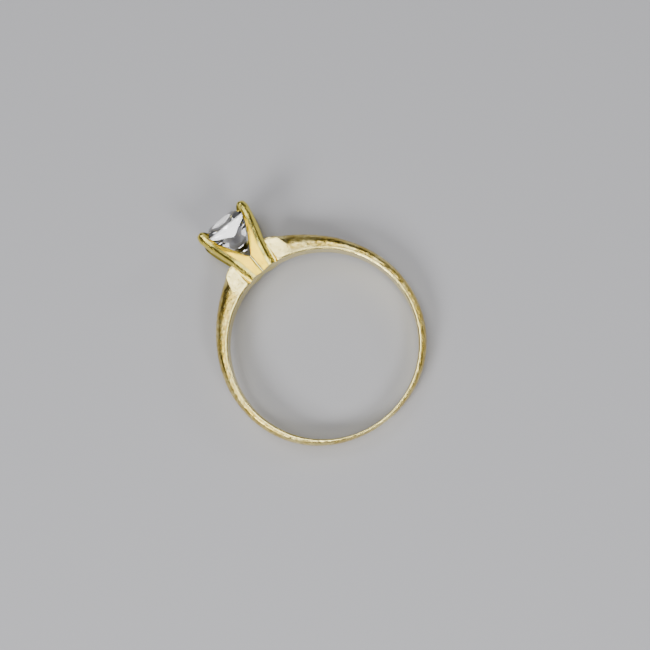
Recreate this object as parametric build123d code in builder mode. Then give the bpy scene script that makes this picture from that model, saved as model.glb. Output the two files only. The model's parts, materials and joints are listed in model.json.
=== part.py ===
from build123d import *
import os
from math import atan2, cos, degrees, exp, radians, sin, sqrt

# Solitaire ring: an open gold band, four gold bars mitred together as the setting, and one square
# brilliant. Lengths are millimetres. Every piece is modelled with the bore's centre at the origin,
# the finger axis on Z and the stone towards -Y, and is laid down on its side at the end.

# Band
bore_radius = 8.45
back_width = 1.95
side_width = 2.2
neck_width = 2.0
end_angle = 5.0
neck_angle = 12.0
section_count = 36
bore_allowance = 0.4

# The band's sides are flat over part of its thickness, and over nearly all of it at the neck, where
# they were filed flat beside the setting.
flank_share = 0.42
neck_flank_share = 0.9
neck_flat_end = 20.0

# Thickness of the band: an even band, worn thin a little to the +X side of the back, and swept up
# to the setting. Angles are in degrees from the stone, counted towards +X.
side_thickness = 0.77
worn_depth = 0.4
worn_angle = 172.0
worn_spread = 42.0
sweep_height = 2.7
sweep_fade = 26.0

# Setting: heights are over the bore, along the setting's own axis
bar_width = 0.92
bar_bevel = 0.155
tip_height = 5.93
foot_depth = 0.6

# Outline of a bar, as distances from the setting's axis and heights: the tulip curve of its outer
# edge, the claw that closes over the stone, and the notch of its inner edge under the stone
bar_outer = [
    (1.56, -foot_depth), (1.7, 0.0), (1.89, 0.67), (2.36, 2.15), (3.0, 3.6), (3.42, 4.7), (3.555, 5.35),
]
claw_crest = (3.27, tip_height)
claw_end = (2.66, 5.48)
claw_end_way = (-0.25, -1)
bar_inner = [(2.95, 4.75), (2.62, 4.08), (0, 1.23)]

# Stone
stone_side = 4.4
corner_cut = 0.16
girdle_level = 4.93
girdle_height = 0.1
crown_height = 0.9
pavilion_depth = 2.55

# Solder
joint_film = 0.06
core_film = 0.08
fillet_leg = 0.16

crease = bar_width / sqrt(2)
head = Plane(origin=(0, -bore_radius, 0), x_dir=(1, 0, 0), z_dir=(0, -1, 0))


def band_thickness(angle):
    """Radial thickness at an angle from the stone, 0 to 360, counted towards +X."""
    from_stone = max(min(angle, 360 - angle), neck_angle)
    worn = worn_depth * exp(-(((angle - worn_angle) / worn_spread) ** 2))
    return side_thickness - worn + sweep_height * exp(-from_stone / sweep_fade)


def band_width(angle):
    """Axial width: narrow at the back, widest beside the finger, and a little less at the neck."""
    end_width = back_width if 90 < angle < 270 else neck_width
    return end_width + (side_width - end_width) * sin(radians(angle)) ** 2


def band_flank(angle):
    """How far over the bore the flat sides of the band reach at an angle from the stone."""
    share = neck_flank_share if min(angle, 360 - angle) < neck_flat_end else flank_share
    return share * band_thickness(angle)


def band_section(angle):
    """The D-shaped face of the band at an angle from the stone, run on inside the bore to be bored out."""
    turn = radians(angle)
    outward = Vector(sin(turn), -cos(turn), 0)
    plane = Plane(origin=(0, 0, 0), x_dir=outward, z_dir=outward.cross(Vector(0, 0, 1)))
    half = band_width(angle) / 2
    inside = bore_radius - bore_allowance
    crown = bore_radius + band_thickness(angle)
    flank_top = bore_radius + band_flank(angle)
    with BuildSketch(plane) as face:
        with BuildLine():
            Line((inside, half), (inside, -half))
            Line((inside, -half), (flank_top, -half))
            EllipticalCenterArc((flank_top, 0), crown - flank_top, half, start_angle=-90, arc_size=180)
            Line((flank_top, half), (inside, half))
        make_face()
    return face.sketch


def bar_plane(side_x, side_z):
    """Plane of one bar's outline: local X runs out along the diagonal, local Y up the setting."""
    diagonal = Vector(side_x, 0, side_z).normalized()
    return Plane(origin=head.origin, x_dir=diagonal, z_dir=diagonal.cross(Vector(0, -1, 0)))


def bar_face(side_x, side_z, grow=0):
    """Tulip outline of one bar from the setting's axis outwards, its outer side moved out by grow."""
    shoulder = (bar_outer[-1][0] + grow, bar_outer[-1][1])
    with BuildSketch(bar_plane(side_x, side_z)) as face:
        with BuildLine():
            side = Spline([(x + grow, y) for x, y in bar_outer])
            over = Spline([shoulder, claw_crest, claw_end], tangents=[side % 1, claw_end_way])
            Polyline(over @ 1, *bar_inner, (0, -foot_depth), side @ 0)
        make_face()
    return face.sketch


# Stone: a square prism cut down by its facets. A facet is a slope from the girdle plane and the turn
# of its face about the setting's axis. Every facet starts from the girdle: the unturned ones along
# its sides, the turned ones from its corners, as the chevrons of a square brilliant do.
pavilion_facets = [(62, 0), (52, 7), (45.5, 16), (41, 26)]
crown_facets = [(48, 0), (39, 12)]

with BuildPart() as stone:
    with BuildSketch(head.offset(girdle_level - pavilion_depth)):
        Rectangle(stone_side, stone_side)
    extrude(amount=pavilion_depth + girdle_height + crown_height)
    chamfer(stone.edges().filter_by(Axis.Y), corner_cut)
    for facets, level, up in (
        (pavilion_facets, girdle_level, -1),
        (crown_facets, girdle_level + girdle_height, 1),
    ):
        for slope, turn in facets:
            tilt = radians(slope)
            reach = stone_side / 2 * (cos(radians(turn)) + sin(radians(turn)))
            for side in range(4):
                for swing in sorted({-turn, turn}):
                    azimuth = radians(90 * side + swing)
                    across = Vector(cos(azimuth), 0, sin(azimuth))
                    normal = across * sin(tilt) + Vector(0, -up, 0) * cos(tilt)
                    point = Vector(0, -bore_radius - level, 0) + across * reach
                    split(bisect_by=Plane(origin=point, z_dir=normal), keep=Keep.BOTTOM)


def bar(side_x, side_z, film=0):
    """One bar of the setting as sawn and bevelled; film makes it larger all round by a solder joint."""
    with BuildPart() as blank:
        extrude(bar_face(side_x, side_z, film), amount=bar_width / 2 + film, both=True)
        chamfer(blank.edges().filter_by(GeomType.BSPLINE), bar_bevel)
    return blank.part


# Prong bars: four like bars on the diagonals of the square, mitred where they meet on the axis.
# Each is sawn from plate, bevelled along its outer edges, notched for the stone, and filed off
# flush with the bore. Left and right are the ring's own, seen from behind the stone. A bar keeps to
# its own quarter of the setting, a box of that size.
corners = {
    "upper_left": (1, 1),
    "upper_right": (-1, 1),
    "lower_left": (1, -1),
    "lower_right": (-1, -1),
}
quarter = 5.0
prongs = {}
for place, (side_x, side_z) in corners.items():
    with BuildPart() as prong:
        add(bar(side_x, side_z))
        middle = core_film / 2 + quarter / 2
        with Locations((side_x * middle, -bore_radius - quarter / 2, side_z * middle)):
            Box(quarter, 2 * quarter, quarter, mode=Mode.INTERSECT)
        Cylinder(bore_radius, 2 * quarter, mode=Mode.SUBTRACT)
        add(stone.part, mode=Mode.SUBTRACT)
    prongs[place] = prong

# Core solder: the cross of solder in the four mitres, with a small fillet showing in each groove,
# hollowed on top by the same notch as the bars.
notch_spread = (bar_inner[1][0] - bar_inner[2][0]) / (bar_inner[1][1] - bar_inner[2][1])
notch_start = bar_inner[2][1]
notch_rises = (0.01, 1.0)
core_height = notch_start + bar_width / 2 / notch_spread
with BuildPart() as core_solder:
    with BuildSketch(head.offset(-foot_depth)):
        for turn in (0, 90):
            Rectangle(2 * crease + 2 * fillet_leg, core_film, rotation=turn)
        with PolarLocations(crease + fillet_leg / 2, 4):
            Rectangle(fillet_leg, 2 * fillet_leg)
    extrude(amount=foot_depth + core_height)
    for rise in notch_rises:
        with BuildSketch(head.offset(notch_start + rise)):
            Rectangle(2 * notch_spread * rise, 2 * notch_spread * rise, rotation=45)
    loft(mode=Mode.SUBTRACT)
    for prong in prongs.values():
        add(prong.part, mode=Mode.SUBTRACT)
    Cylinder(bore_radius, 2 * quarter, mode=Mode.SUBTRACT)

# Shank: the open band, bored to size, its two ends filed to wedges that fill the side grooves of
# the setting down to a thin solder joint.
step = (360 - 2 * end_angle) / (section_count - 1)
with BuildPart() as band:
    loft([band_section(end_angle + step * i) for i in range(section_count)])
    Cylinder(bore_radius, 2 * quarter, mode=Mode.SUBTRACT)
    add(core_solder.part, mode=Mode.SUBTRACT)

with BuildPart() as shank:
    add(band.part)
    for side_x, side_z in corners.values():
        add(bar(side_x, side_z, joint_film), mode=Mode.SUBTRACT)

# Shoulder solder: the film between each wedge of the shank and the two bars beside it.
shoulder_solders = {}
for side_name, side_x in (("left", 1), ("right", -1)):
    with BuildPart() as film:
        add(band.part)
        add(shank.part, mode=Mode.SUBTRACT)
        for prong in prongs.values():
            add(prong.part, mode=Mode.SUBTRACT)
        with Locations((side_x * quarter / 2, -bore_radius, 0)):
            Box(quarter, 2 * quarter, 2 * quarter, mode=Mode.INTERSECT)
    shoulder_solders[side_name] = film

# Laid down: the ring rests on its two lower prongs and the back of the band, so the finger axis
# leans back a little from upright. The origin is under the middle of the ring, on the table.
prong_reach = (bar_outer[-1][0] + bar_width / 2 - bar_bevel) / sqrt(2)
back_reach = bore_radius + band_flank(180)
lean = degrees(atan2(prong_reach - back_width / 2, bore_radius + bar_outer[-1][1] + back_reach))
pieces = {"shank": shank, "core_solder": core_solder, "stone": stone}
pieces |= {f"prong_{place}": prong for place, prong in prongs.items()}
pieces |= {f"shoulder_solder_{side}": film for side, film in shoulder_solders.items()}
leaning = Rot(-lean, 0, 0)
box = Compound([leaning * piece.part for piece in pieces.values()]).bounding_box()
lay_down = Pos(-box.center().X, -box.center().Y, -box.min.Z) * leaning

os.makedirs("parts", exist_ok=True)
for name, piece in pieces.items():
    piece.part = lay_down * piece.part
    piece.part.label = name
    export_step(piece.part, f"parts/{name}.step")

print("lean", lean, "bore centre", lay_down.position, "bore axis", Plane(lay_down).z_dir)
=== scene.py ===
import json
import math

import bpy
import numpy as np
from mathutils import Matrix


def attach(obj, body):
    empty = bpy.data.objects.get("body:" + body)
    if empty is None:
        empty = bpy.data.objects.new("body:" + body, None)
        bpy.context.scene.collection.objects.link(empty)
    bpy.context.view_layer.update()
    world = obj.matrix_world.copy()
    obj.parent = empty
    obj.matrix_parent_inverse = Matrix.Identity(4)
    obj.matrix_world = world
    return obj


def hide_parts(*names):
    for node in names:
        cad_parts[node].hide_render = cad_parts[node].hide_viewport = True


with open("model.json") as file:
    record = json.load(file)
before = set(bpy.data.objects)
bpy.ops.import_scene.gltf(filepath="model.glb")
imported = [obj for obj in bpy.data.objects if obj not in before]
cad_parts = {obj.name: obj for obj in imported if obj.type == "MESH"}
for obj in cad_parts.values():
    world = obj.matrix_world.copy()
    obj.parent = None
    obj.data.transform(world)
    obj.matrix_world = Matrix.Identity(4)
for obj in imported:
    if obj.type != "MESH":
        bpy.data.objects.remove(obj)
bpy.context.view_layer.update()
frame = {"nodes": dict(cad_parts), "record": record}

# Shank: one open band of yellow gold, forged and filed by hand, thin at the back and swept up to the
# setting. Its sides are flat beside the bore and its outside is domed. Its ends are wedges, soldered
# into the grooves between the bars of the setting.
side_thickness, worn_depth, worn_angle, worn_spread = 0.77, 0.4, 172.0, 42.0
sweep_height, sweep_fade, neck_angle, end_angle = 2.7, 26.0, 12.0, 5.0
back_width, side_width, neck_width = 1.95, 2.2, 2.0
flank_share, rim_over, rim_across, dome_power = 0.42, 0.22, 0.12, 1.9
neck_flat, neck_reach, neck_end = 0.5, 15.0, 21.0
rows_round = 760
filed_height, hammered_height, knock_depth, dome_drop = 0.004, 0.008, 0.02, 0.012
knock_count, knock_least, knock_most = 420, 0.06, 0.24
thinnest_wedge = 0.004
bar_width, joint_film = 0.92, 0.06
crease = bar_width / math.sqrt(2)

# The finger bore says how the ring lies: where its middle is and which way the finger would point.
# Shapes are worked out in the ring's own millimetres, left, back (away from the stone) and along the
# finger, and are then laid down on the table.
bore = next(mount for mount in frame["record"]["mounts"] if mount["name"] == "finger_bore")
bore_radius = bore["dims"]["r_mm"]
bore_centre = np.array(bore["pos_m"])
finger_way = np.array(bore["axis"]) / np.linalg.norm(bore["axis"])
left_way = np.array([1.0, 0.0, 0.0])
back_way = np.cross(finger_way, left_way)
millimetre = 0.001


def lay_down(left, back, finger):
    """Metres in the frame: the bore's centre plus each of the three distances along its direction."""
    ways = left[..., None] * left_way + back[..., None] * back_way + finger[..., None] * finger_way
    return bore_centre + millimetre * ways


def outwards(points, checked=True):
    """Unit normals of a grid of points: the cross product of the steps along it and around it, turned
    to point away from the middle of each row."""
    along = np.gradient(points, axis=0)
    around = np.roll(points, -1, axis=1) - np.roll(points, 1, axis=1)
    normal = np.cross(around, along)
    normal = normal / np.maximum(np.linalg.norm(normal, axis=-1, keepdims=True), 1e-12)
    from_middle = points - points.mean(axis=1, keepdims=True)
    return normal * np.sign(np.sum(normal * from_middle)) if checked else normal


def skin(name, points, run, sharp_degrees=180.0):
    """A closed tube over a grid: rows of points run round it, each row joined to the next by squares,
    and the first and last rows are closed by one face each. The columns are turned round if their
    faces would point inwards. run keeps the distances along and around the metal, and how rubbed it
    is, for the finish; the gold is painted paler where it is rubbed, a painted highlight."""
    if np.sum(outwards(points) * outwards(points, checked=False)) < 0:
        points, run = points[:, ::-1], run[:, ::-1]
    rows, columns = points.shape[:2]
    row, column = np.meshgrid(np.arange(rows - 1), np.arange(columns), indexing="ij")
    here, beside = row * columns + column, row * columns + (column + 1) % columns
    squares = np.stack([here, beside, beside + columns, here + columns], axis=-1).reshape(-1, 4)
    ends = [np.arange(columns)[::-1].tolist(), (np.arange(columns) + (rows - 1) * columns).tolist()]
    mesh = bpy.data.meshes.new(name)
    mesh.from_pydata(points.reshape(-1, 3), [], squares.tolist() + ends)
    mesh.attributes.new("run", "FLOAT_VECTOR", "POINT").data.foreach_set("vector", run.ravel())
    mesh.shade_smooth()
    if sharp_degrees < 180.0:
        mesh.set_sharp_from_angle(angle=math.radians(sharp_degrees))
    piece = bpy.data.objects.new(name, mesh)
    bpy.context.scene.collection.objects.link(piece)
    return piece


def gold(name, colour, shade, roughness, scratch_depth, pit_depth, grain):
    """Yellow gold worn on the hand: polished metal, its shine broken by fine rubbing, by longer
    scratches lying three ways and by small pits, and smoother where it is rubbed most.
    Colour turns between a darker and a paler gold by soft patches, and is pushed to the paler gold
    where it is rubbed most: a painted highlight. Roughness is a base turned by the patches, plus
    rubbing and scratches. Height is pits and mottle, then rubbing and scratches, in millimetres."""
    patch_scale, mottle_scale, pit_scale, pitted_scale = 420.0, 2600.0, 3300.0, 900.0
    stir_scale, stir_reach = 3000.0, 0.0004
    rubbing_scale, rubbing_stretch = 26.0, 14.0
    scratch_scale, scratch_stretch, scratch_pitch, scratch_width = 3.2, 22.0, 0.045, 0.006
    polished_roughness = 0.16
    material = bpy.data.materials.new(name)
    material.use_nodes = True
    tree = material.node_tree
    add, link = tree.nodes.new, tree.links.new
    metal = tree.nodes["Principled BSDF"]
    metal.inputs["Metallic"].default_value = 1.0
    run = add("ShaderNodeAttribute")
    run.attribute_name = "run"
    place = add("ShaderNodeTexCoord")

    def noise(source, scale, turn=0.0, stretch=1.0, detail=3.0, seed=0.0):
        """Soft noise, turned in degrees and drawn out along its first direction."""
        mapping = add("ShaderNodeMapping")
        mapping.inputs["Location"].default_value = (seed, seed * 0.7, seed * 0.3)
        mapping.inputs["Rotation"].default_value = (0.0, 0.0, math.radians(turn))
        mapping.inputs["Scale"].default_value = (scale / stretch, scale, scale)
        link(source, mapping.inputs["Vector"])
        texture = add("ShaderNodeTexNoise")
        texture.inputs["Scale"].default_value = 1.0
        texture.inputs["Detail"].default_value = detail
        link(mapping.outputs["Vector"], texture.inputs["Vector"])
        return texture.outputs["Fac"]

    def graded(value, low, high, bottom=0.0, top=1.0):
        """Smooth step from bottom to top as the value goes from low to high."""
        ranged = add("ShaderNodeMapRange")
        ranged.interpolation_type = "SMOOTHSTEP"
        ranged.inputs["From Min"].default_value = low
        ranged.inputs["From Max"].default_value = high
        ranged.inputs["To Min"].default_value = bottom
        ranged.inputs["To Max"].default_value = top
        link(value, ranged.inputs["Value"])
        return ranged.outputs["Result"]

    def plus(first, second, weight=1.0):
        """The first value plus the second times a weight."""
        maths = add("ShaderNodeMath")
        maths.operation = "MULTIPLY_ADD"
        link(second, maths.inputs[0])
        maths.inputs[1].default_value = weight
        link(first, maths.inputs[2])
        return maths.outputs["Value"]

    def times(first, second):
        """The two values multiplied."""
        maths = add("ShaderNodeMath")
        maths.operation = "MULTIPLY"
        link(second, maths.inputs[0])
        link(first, maths.inputs[1])
        return maths.outputs["Value"]

    def scratches(turn, seed, spread):
        """Thin lines where drawn-out noise crosses a multiple of the pitch, kept only in patches."""
        line = noise(run.outputs["Vector"], scratch_scale, turn, scratch_stretch, 1.0, seed)
        off_line = add("ShaderNodeMath")
        off_line.operation = "PINGPONG"
        off_line.inputs[1].default_value = scratch_pitch
        link(line, off_line.inputs[0])
        thin = graded(off_line.outputs["Value"], 0.0, scratch_width, 1.0, 0.0)
        patch = noise(run.outputs["Vector"], 1.1, turn, 2.0, 1.0, seed + 5.0)
        return times(thin, graded(patch, spread, spread + 0.1))

    split = add("ShaderNodeSeparateXYZ")
    link(run.outputs["Vector"], split.inputs["Vector"])
    rubbed_and_highlight = split.outputs["Z"]
    patches = noise(place.outputs["Object"], patch_scale, detail=4.0)
    mottle = noise(place.outputs["Object"], mottle_scale, detail=3.0, seed=3.0)
    blend = add("ShaderNodeMix")
    blend.data_type = "RGBA"
    blend.clamp_factor = True
    blend.inputs["A"].default_value = (*shade, 1.0)
    blend.inputs["B"].default_value = (*colour, 1.0)
    # Rubbed places are pushed to the paler gold, a painted highlight; the patches alone give random
    # tone.
    link(plus(graded(plus(patches, mottle), 0.85, 1.35), rubbed_and_highlight), blend.inputs["Factor"])
    link(blend.outputs["Result"], metal.inputs["Base Color"])

    rubbing = noise(run.outputs["Vector"], rubbing_scale * grain, 0.0, rubbing_stretch, 3.0, 2.0)
    lines = plus(scratches(12.0, 1.0, 0.46), scratches(-38.0, 7.0, 0.5))
    lines = plus(lines, scratches(71.0, 13.0, 0.52))
    rough = plus(graded(patches, 0.35, 0.7, roughness * 0.75, roughness * 1.25), lines, 0.12)
    rough = plus(rough, graded(rubbing, 0.3, 0.75, 0.0, 0.1))
    link(plus(rough, rubbed_and_highlight, polished_roughness - roughness), metal.inputs["Roughness"])

    stir = add("ShaderNodeTexNoise")
    stir.inputs["Scale"].default_value = stir_scale
    link(place.outputs["Object"], stir.inputs["Vector"])
    stirred = add("ShaderNodeVectorMath")
    stirred.operation = "MULTIPLY_ADD"
    stirred.inputs[1].default_value = (stir_reach, stir_reach, stir_reach)
    link(stir.outputs["Color"], stirred.inputs[0])
    link(place.outputs["Object"], stirred.inputs[2])
    cell = add("ShaderNodeTexVoronoi")
    cell.inputs["Scale"].default_value = pit_scale
    cell.inputs["Randomness"].default_value = 1.0
    link(stirred.outputs["Vector"], cell.inputs["Vector"])
    pitted = graded(noise(place.outputs["Object"], pitted_scale, detail=2.0, seed=9.0), 0.5, 0.62)
    pits = times(graded(cell.outputs["Distance"], 0.05, 0.32, -1.0, 0.0), pitted)
    pits = plus(plus(pits, rubbed_and_highlight, 0.9), mottle, 0.8)
    worn = add("ShaderNodeBump")
    worn.inputs["Strength"].default_value = 1.0
    worn.inputs["Distance"].default_value = pit_depth * millimetre
    link(pits, worn.inputs["Height"])
    cut = add("ShaderNodeBump")
    cut.inputs["Strength"].default_value = 1.0
    cut.inputs["Distance"].default_value = scratch_depth * millimetre
    link(plus(graded(rubbing, 0.2, 0.8, 0.0, 0.35), lines, -1.0), cut.inputs["Height"])
    link(worn.outputs["Normal"], cut.inputs["Normal"])
    link(cut.outputs["Normal"], metal.inputs["Normal"])
    return material


def ripple(along, around, count, finest, coarsest, seed):
    """Smooth random height, about -1 to 1: the mean of many cosine waves, each with its own length
    between finest and coarsest, its own direction and its own start."""
    draw = np.random.default_rng(seed)
    height = np.zeros(np.broadcast(along, around).shape)
    for _ in range(count):
        turn, start = draw.uniform(0, 2 * np.pi, 2)
        pitch = 2 * np.pi / draw.uniform(finest, coarsest)
        height += np.cos(pitch * (along * np.cos(turn) + around * np.sin(turn)) + start)
    return height / math.sqrt(count)


def dents(along, around, count, reach, tall, seed):
    """Small knocks: round dips, each a bell curve about its own place, up to 1 deep."""
    draw = np.random.default_rng(seed)
    depth = np.zeros(np.broadcast(along, around).shape)
    for _ in range(count):
        place, over = draw.uniform(0, reach), draw.uniform(0, tall)
        size = draw.uniform(knock_least, knock_most)
        squeeze = draw.uniform(0.5, 2.0)
        far = ((along - place) / squeeze) ** 2 + ((around - over) * squeeze) ** 2
        depth -= draw.uniform(0.3, 1.0) * np.exp(-far / size**2)
    return depth


def band_section(thickness, half, flat):
    """Distance over the bore and across the band, round one D-shaped section: the bore wall, a rim
    rubbed to a quarter ellipse, a flat flank, a dome a little fuller than a roof, and back."""
    share = np.linspace(0, 1, 15)[:-1]
    quarter = np.linspace(0, np.pi / 2, 9)[:-1]
    climb = np.linspace(0, 1, 9)[:-1]
    half_turn = np.linspace(0, np.pi, 49)[:-1]
    top = flat * thickness
    rim = np.minimum(rim_over, 0.7 * top)
    rise = thickness - top
    power = 2 / dome_power
    over = np.concatenate([
        0 * thickness + 0 * share,
        rim * (1 - np.cos(quarter)),
        rim + (top - rim) * climb,
        top + rise * np.sin(half_turn) ** power,
        top + (rim - top) * climb,
        rim * (1 - np.sin(quarter)),
    ], axis=1)
    across = np.concatenate([
        (half - rim_across) * (2 * share - 1),
        half - rim_across + rim_across * np.sin(quarter),
        half + 0 * climb,
        half * np.sign(np.cos(half_turn)) * np.abs(np.cos(half_turn)) ** power,
        -half + 0 * climb,
        -(half - rim_across + rim_across * np.cos(quarter)),
    ], axis=1)
    return over, across


def make_shank():
    """The D section carried round the bore. Its thickness is an even one, less a bell curve where it
    is worn at the back, plus a sweep that dies away from the setting. Ripples and dents are pushed in
    along the surface's own normals, and the ends are squeezed to the wedges between the bars."""
    angle = np.radians(np.linspace(end_angle, 360 - end_angle, rows_round))[:, None]
    from_stone = np.minimum(angle, 2 * np.pi - angle)
    worn = worn_depth * np.exp(-(((np.degrees(angle) - worn_angle) / worn_spread) ** 2))
    sweep = np.exp(-np.maximum(np.degrees(from_stone), neck_angle) / sweep_fade)
    thickness = side_thickness - worn + sweep_height * sweep
    end_width = np.where(np.cos(angle) < 0, back_width, neck_width)
    half = (end_width + (side_width - end_width) * np.sin(angle) ** 2) / 2
    fade = np.clip((neck_end - np.degrees(from_stone)) / (neck_end - neck_reach), 0, 1)
    flat = flank_share + neck_flat * fade**2 * (3 - 2 * fade)
    over, across = band_section(thickness, half, flat)
    radius = bore_radius + over
    points = np.stack([radius * np.sin(angle), -radius * np.cos(angle), across], axis=-1)
    along = angle * bore_radius + 0 * over
    steps = np.linalg.norm(np.diff(points, axis=1), axis=-1)
    around = np.concatenate([np.zeros((len(steps), 1)), np.cumsum(steps, axis=1)], axis=1)
    reach, tall = float(along.max()), float(around.max())
    on_dome = np.clip((over / thickness - 0.1) / 0.3, 0, 1)
    filed = filed_height * ripple(along, around, 30, 1.5, 4.0, 1)
    hammered = hammered_height * ripple(along, around, 40, 0.3, 0.7, 2)
    knocks = knock_depth * dents(along, around, knock_count, reach, tall, 3)
    worked = np.clip((np.degrees(from_stone) - neck_reach) / 10, 0.15, 1)
    push = on_dome * worked * ((filed + hammered) + knocks) - dome_drop * on_dome
    points += push[..., None] * outwards(points)
    room = np.abs(points[..., 0]) - crease - joint_film * math.sqrt(2)
    near_setting = (from_stone < np.radians(25)) & (np.abs(points[..., 0]) < 2.4)
    wedge = np.where(near_setting, np.maximum(room, thinnest_wedge), 10.0)
    points[..., 2] = np.clip(points[..., 2], -wedge, wedge)
    # How rubbed each place is: the inner rim, soft patches on the dome and the flats by the setting.
    # It smooths them and also paints them a paler gold, a painted highlight.
    rim_rubbed_and_highlight = np.clip(1.5 - over / 0.2, 0, 1)
    dome_rubbed_and_highlight = 0.6 * np.clip(ripple(along, around, 20, 2.0, 6.0, 4) - 0.3, 0, 1)
    neck_polished_and_highlight = 1.5 * fade + 0 * over
    rubbed_and_highlight = np.clip(rim_rubbed_and_highlight + dome_rubbed_and_highlight + neck_polished_and_highlight, 0, 1)
    run = np.stack([along, around, rubbed_and_highlight], axis=-1)
    return skin("worn_shank", lay_down(points[..., 0], points[..., 1], points[..., 2]), run, 50.0)


shank = make_shank()
# band_colour is the paler gold that rubbed places are painted with, a painted highlight; band_shade is
# the darker gold of the rest.
band_colour, band_shade = (0.97, 0.82, 0.32), (0.60, 0.43, 0.08)
shank.data.materials.append(gold("worn_band_gold", band_colour, band_shade, 0.26, 0.005, 0.022, 1.0))
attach(shank, "root")
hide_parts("shank")

# Prong bars: four like bars sawn from gold plate, one on each corner of the square, mitred and
# soldered together at the foot. Each has two bevelled outer edges, a notch filed for the stone,
# and a claw pushed over the stone's corner.
bar_bevel, core_film = 0.155, 0.08
rib_count, sharpest = 150, 28.0
claw_start, claw_reach, claw_narrowing = 5.2, 0.9, 0.3
face_crown, face_drop, face_set_back, face_power = 0.08, 0.05, 0.03, 12
rubbing_height, edge_width, edge_round, edge_degrees = 0.0015, 0.12, 0.016, 24.0
# setting_colour is also the paler gold painted along the bevelled edges, a painted highlight.
setting_colour, setting_shade = (0.97, 0.84, 0.21), (0.94, 0.75, 0.13)
setting_gold = gold("polished_setting_gold", setting_colour, setting_shade, 0.09, 0.002, 0.003, 1.6)


def curve_through(points, count):
    """Evenly spaced places on a smooth curve through a few points: a Catmull-Rom cubic between each
    two, which leaves each point in the direction of its neighbours."""
    points = np.array(points)
    padded = np.vstack([2 * points[0] - points[1], points, 2 * points[-1] - points[-2]])
    spot = np.linspace(0, len(points) - 1, count)
    piece = np.minimum(spot.astype(int), len(points) - 2)
    t = (spot - piece)[:, None]
    p0, p1, p2, p3 = (padded[piece + k] for k in range(4))
    return 0.5 * (2 * p1 + (p2 - p0) * t + (2 * p0 - 5 * p1 + 4 * p2 - p3) * t**2
                  + (3 * p1 - p0 - 3 * p2 + p3) * t**3)


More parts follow.
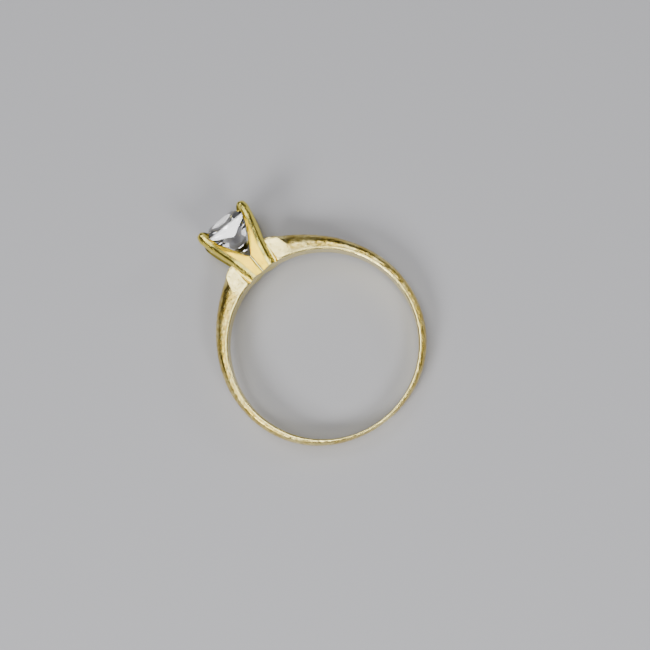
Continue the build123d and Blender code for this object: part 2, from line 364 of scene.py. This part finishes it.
def make_prong(name, side_x, side_z, seed):
    """Ribs run from the inner edge to the outer edge of the bar, up the foot and over the claw. Round
    each rib goes a section: out along one cheek, over a bevel, across the outer face and back. Near
    the axis the cheeks close in to the mitre, and the lowest rib is drawn down to the bore. The
    outer face is crowned by a parabola across it, and stands a little inside the bar's outline."""
    outer = curve_through([
        (1.70, 0.0), (1.89, 0.67), (2.12, 1.4), (2.36, 2.15), (2.68, 2.88), (3.0, 3.6), (3.24, 4.15),
        (3.42, 4.7), (3.53, 5.1), (3.555, 5.4), (3.5, 5.7), (3.34, 5.89), (3.13, 5.91), (2.94, 5.80),
        (2.78, 5.62), (2.67, 5.40),
    ], rib_count)
    inner = curve_through([
        (0.06, 0.0), (0.06, 0.67), (0.19, 1.4), (0.84, 2.15), (1.50, 2.88), (2.17, 3.6), (2.62, 4.15),
        (2.93, 4.7), (3.04, 4.96), (3.03, 5.04), (3.0, 5.09), (2.94, 5.14), (2.87, 5.19), (2.80, 5.24),
        (2.73, 5.29), (2.66, 5.34),
    ], rib_count)
    rib = outer - inner
    length = np.maximum(np.linalg.norm(rib, axis=1, keepdims=True), 0.04)
    half = np.full_like(length, bar_width / 2)
    closing = np.clip((outer[:, 1:] - claw_start) / claw_reach, 0, 1)
    half = half * (1 - claw_narrowing * closing**2)
    bevel = np.minimum(bar_bevel, 0.4 * length)
    mitre = core_film / math.sqrt(2)
    at_axis = np.clip(inner[:, :1] - mitre, 0.002, half)
    open_at = np.clip((half + mitre - inner[:, :1]) / length, 0.02, 0.9)
    open_at = np.where(inner[:, :1] < half + mitre, open_at, 0.05)
    at_axis = np.where(inner[:, :1] < half + mitre, at_axis, half - 0.03)
    corner_share = np.concatenate([
        0 * length, open_at, 1 - bevel / length, 0 * length + 1,
        0 * length + 1, 1 - bevel / length, open_at, 0 * length], axis=1)
    corner_half = np.concatenate([
        -at_axis, -half, -half, bevel - half, half - bevel, half, half, at_axis], axis=1)
    cuts = (3, 8, 4, 6, 4, 8, 3, 4)
    share, across = [], []
    for k, cut in enumerate(cuts):
        t = np.linspace(0, 1, cut + 1)[:-1]
        for corner, filled in ((corner_share, share), (corner_half, across)):
            following = np.roll(corner, -1, axis=1)[:, k:k + 1]
            filled.append(corner[:, k:k + 1] * (1 - t) + following * t)
    share, across = np.concatenate(share, axis=1), np.concatenate(across, axis=1)
    out = inner[:, :1] + rib[:, :1] * share
    high = inner[:, 1:] + rib[:, 1:] * share
    swell = face_crown * (1 - (across / half) ** 2) - face_drop
    out = out - face_set_back * share + swell * share**face_power
    left = side_x * (out - across * side_x * side_z) / math.sqrt(2)
    finger = side_z * (out + across * side_x * side_z) / math.sqrt(2)
    bore_line = np.sqrt(bore_radius**2 - left**2) - bore_radius
    high = high + bore_line * np.clip(1 - high / 0.6, 0, 1) ** 2
    points = np.stack([left, -bore_radius - high, finger], axis=-1)
    along = np.cumsum(np.linalg.norm(np.gradient(outer, axis=0), axis=1))[:, None] + 0 * share
    around = share * length * np.sign(across + 1e-6) + across
    worn = rubbing_height * ripple(along, around, 24, 0.6, 2.0, seed)
    points += (worn * np.clip(high / 0.5, 0, 1))[..., None] * outwards(points)
    # Along the bevelled edges the gold is taken as rubbed: smoother, and painted a paler gold, a
    # painted highlight on the arrises.
    off_edge = (share - 1 + bevel / (2 * length)) * length
    edge = np.exp(-((off_edge / edge_width) ** 2)) * (np.abs(across) > half - bevel - 0.02)
    run = np.stack([along + 9 * seed, around, np.clip(edge, 0, 1)], axis=-1)
    piece = skin(name, lay_down(points[..., 0], points[..., 1], points[..., 2]), run, sharpest)
    rounding = piece.modifiers.new("filed_edges", "BEVEL")
    rounding.width = edge_round * millimetre
    rounding.segments = 3
    rounding.limit_method = "ANGLE"
    rounding.angle_limit = math.radians(edge_degrees)
    rounding.harden_normals = True
    return piece


corners = {
    "upper_left": (1, 1), "upper_right": (-1, 1), "lower_left": (1, -1), "lower_right": (-1, -1),
}
for seed, (place, (side_x, side_z)) in enumerate(corners.items()):
    prong = make_prong(f"bar_{place}", side_x, side_z, 20 + seed)
    prong.data.materials.append(setting_gold)
    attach(prong, "root")
    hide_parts(f"prong_{place}")

# Solder: paler gold run into the joints. In the cross of mitres under the stone it was drawn up into
# the four grooves as hollow fillets. At the shoulders it is a film that keeps its joint's shape.
solder_colour, solder_shade = (0.95, 0.86, 0.34), (0.89, 0.77, 0.24)
solder = gold("solder_gold", solder_colour, solder_shade, 0.16, 0.002, 0.004, 1.0)
fillet_leg, notch_start, notch_slope = 0.15, 1.23, 1.0878


def make_core_solder():
    """A cross in plan: each arm runs from the axis to a groove and ends there in a hollow arc that
    is tangent to both bars. The cross stands on the bore and ends in the notch filed for the stone:
    height is the notch's start plus its slope times the distance out along the diagonal."""
    film = core_film / 2
    hollow = fillet_leg * math.sqrt(2)
    turn = np.linspace(np.pi / 4, -np.pi / 4, 15)
    side = np.linspace(0, 1, 8)[:-1]
    edge_across = film + (fillet_leg - film) * side
    edge_out = film + (crease + fillet_leg - film) * side
    across = np.concatenate([edge_across, hollow * np.sin(turn), -edge_across[:0:-1]])
    arc_out = crease + 2 * fillet_leg - hollow * np.cos(turn)
    out = np.concatenate([edge_out, arc_out, edge_out[:0:-1]])
    left = np.concatenate([across, -out, -across, out])
    finger = np.concatenate([out, across, -out, -across])
    spread = np.array([0.03, 0.5, 1, 1, 1, 1, 1, 1, 0.7, 0.4, 0.03])[:, None]
    climb = np.array([0, 0, 0, 0.2, 0.4, 0.6, 0.8, 1, 1, 1, 1])[:, None]
    left, finger = left * spread, finger * spread
    foot = np.sqrt(bore_radius**2 - left**2) - bore_radius
    notch = notch_start + notch_slope * (np.abs(left) + np.abs(finger)) / math.sqrt(2)
    high = foot + (notch - foot) * climb
    run = np.stack([high, left + finger, 0.6 + 0 * high], axis=-1)
    return skin("drawn_solder", lay_down(left, -bore_radius - high, finger), run, 40.0)


core = make_core_solder()
core.data.materials.append(solder)
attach(core, "root")
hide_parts("core_solder")
for joint in ("shoulder_solder_left", "shoulder_solder_right"):
    frame["nodes"][joint].data.materials.clear()
    frame["nodes"][joint].data.materials.append(solder)

# Stone: one clear square brilliant, cut and polished flat facet by facet, held by its corners. It
# keeps its cut shape; its finish is clear and hard, with faint smudges left by fingers.
stone_tint, stone_index = (0.985, 0.98, 1.0, 1.0), 2.2
smear_scale, most_dulled = 700.0, 0.06


def clear_stone():
    """Light passes straight through and bends hard; thin smears of soft patches dull the polish."""
    material = bpy.data.materials.new("clear_cut_stone")
    material.use_nodes = True
    tree = material.node_tree
    add, link = tree.nodes.new, tree.links.new
    crystal = tree.nodes["Principled BSDF"]
    crystal.inputs["Base Color"].default_value = stone_tint
    crystal.inputs["IOR"].default_value = stone_index
    crystal.inputs["Transmission Weight"].default_value = 1.0
    place = add("ShaderNodeTexCoord")
    smear = add("ShaderNodeTexNoise")
    smear.inputs["Scale"].default_value = smear_scale
    smear.inputs["Detail"].default_value = 4.0
    smear.inputs["Distortion"].default_value = 0.8
    link(place.outputs["Object"], smear.inputs["Vector"])
    film = add("ShaderNodeMapRange")
    film.inputs["From Min"].default_value = 0.5
    film.inputs["From Max"].default_value = 0.75
    film.inputs["To Min"].default_value = 0.0
    film.inputs["To Max"].default_value = most_dulled
    link(smear.outputs["Fac"], film.inputs["Value"])
    link(film.outputs["Result"], crystal.inputs["Roughness"])
    return material


stone = frame["nodes"]["stone"]
stone.data.materials.clear()
stone.data.materials.append(clear_stone())
stone.data.shade_flat()

# Table: a plain pale sheet that the ring lies on, wide enough to fill every view from above. It is
# matt, and is only there to carry the ring.
table_half, table_colour, table_roughness = 1.2, (0.46, 0.46, 0.48, 1.0), 0.75
floor_mesh = bpy.data.meshes.new("pale_table")
floor_mesh.from_pydata(
    [(x * table_half, y * table_half, 0) for x, y in ((-1, -1), (1, -1), (1, 1), (-1, 1))],
    [], [(0, 1, 2, 3)])
floor = bpy.data.objects.new("pale_table", floor_mesh)
bpy.context.scene.collection.objects.link(floor)
paper = bpy.data.materials.new("pale_paper")
paper.use_nodes = True
sheet = paper.node_tree.nodes["Principled BSDF"]
sheet.inputs["Base Color"].default_value = table_colour
sheet.inputs["Roughness"].default_value = table_roughness
floor_mesh.materials.append(paper)

# Camera: nearly straight down the finger bore, a hand's width above it, with the stone at the
# upper left, 40 degrees round from the top of the picture.
view_angle = math.radians(32)
rim_distance = 99.95
rim_in_view = np.array([-0.176, -1.587, -rim_distance])
finger_in_view = np.array([-0.043, 0.108, 0.0])
finger_in_view[2] = math.sqrt(1 - finger_in_view @ finger_in_view)
stone_turn = math.radians(129.7)
stone_in_view = np.array([math.cos(stone_turn), math.sin(stone_turn), 0.0])
stone_in_view -= (stone_in_view @ finger_in_view) * finger_in_view
stone_in_view /= np.linalg.norm(stone_in_view)
left_in_view = np.cross(finger_in_view, stone_in_view)
in_view = np.stack([left_in_view, stone_in_view, finger_in_view], axis=1)
in_frame = np.stack([left_way, -back_way, finger_way], axis=1)
to_frame = in_frame @ in_view.T
near_rim = bore_centre + millimetre * side_width / 2 * finger_way
eye = near_rim - to_frame @ rim_in_view * millimetre
camera_data = bpy.data.cameras.new("camera")
camera_data.sensor_width = 36.0
camera_data.lens = camera_data.sensor_width / 2 / math.tan(view_angle / 2)
camera_data.clip_start = 0.002
camera_data.clip_end = 10.0
camera = bpy.data.objects.new("camera", camera_data)
bpy.context.scene.collection.objects.link(camera)
pose = np.eye(4)
pose[:3, :3], pose[:3, 3] = to_frame, eye
camera.matrix_world = Matrix(pose)
bpy.context.scene.camera = camera


# Studio light: a soft key from the lower left of the camera's view, a wide soft box overhead, and
# three small ones: two that the stone's facets mirror and pass on, and one on the far side. The room
# is dim, so that the polished gold has something dark to mirror.
def soft_light(name, right, up, back, width, height, power):
    """A rectangular light at a place given in the camera's own directions from the bore's centre, in
    millimetres, facing the ring."""
    data = bpy.data.lights.new(name, "AREA")
    data.shape = "RECTANGLE"
    data.size, data.size_y = width * millimetre, height * millimetre
    data.energy = power
    lamp = bpy.data.objects.new(name, data)
    bpy.context.scene.collection.objects.link(lamp)
    way = to_frame @ np.array([right, up, back], dtype=float)
    facing = way / np.linalg.norm(way)
    side = np.cross([0.0, 0.0, 1.0], facing)
    side = side / np.linalg.norm(side) if np.linalg.norm(side) > 1e-3 else left_way
    turn = np.eye(4)
    turn[:3, :3] = np.stack([side, np.cross(facing, side), facing], axis=1)
    turn[:3, 3] = bore_centre + millimetre * way
    lamp.matrix_world = Matrix(turn)


room_colour = (0.08, 0.08, 0.085, 1.0)
soft_light("key", -170, -170, 230, 120, 120, 0.8)
soft_light("overhead", -45, 45, 320, 180, 180, 0.46)
soft_light("window", 102, -112, 198, 70, 70, 0.24)
soft_light("crown", -120, 150, 190, 80, 80, 0.12)
soft_light("far_side", 200, 120, 130, 50, 50, 0.08)
world = bpy.data.worlds.new("grey_room")
world.use_nodes = True
world.node_tree.nodes["Background"].inputs["Color"].default_value = room_colour
world.node_tree.nodes["Background"].inputs["Strength"].default_value = 1.0
bpy.context.scene.world = world
